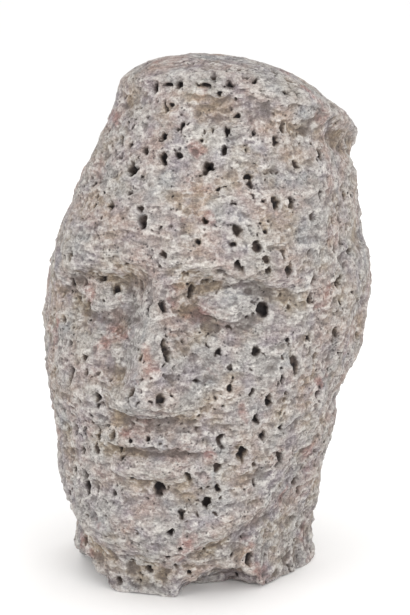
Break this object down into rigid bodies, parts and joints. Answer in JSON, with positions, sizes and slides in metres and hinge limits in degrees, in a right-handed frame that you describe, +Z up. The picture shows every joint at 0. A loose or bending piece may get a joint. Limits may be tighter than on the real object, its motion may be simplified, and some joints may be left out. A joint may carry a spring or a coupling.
{
  "type": "volcanic stone head",
  "caption": "Head carved from one block of porous volcanic stone, wearing a low tilted cap, broken off at the neck and standing on the break.",
  "frame": {"origin": "middle of the bounding box's base, on the plane that the head stands on", "axes": "+Z up from the break at the neck to the cap, -Y the way the face looks, +X the head's own left"},
  "size_m": [0.184, 0.2052, 0.2963],
  "materials": {
    "volcanic_stone": "rough porous grey-pink volcanic stone, matt, with dark open pores"
  },
  "bodies": {
    "root": {"stone_head": "volcanic_stone"}
  },
  "joints": []
}
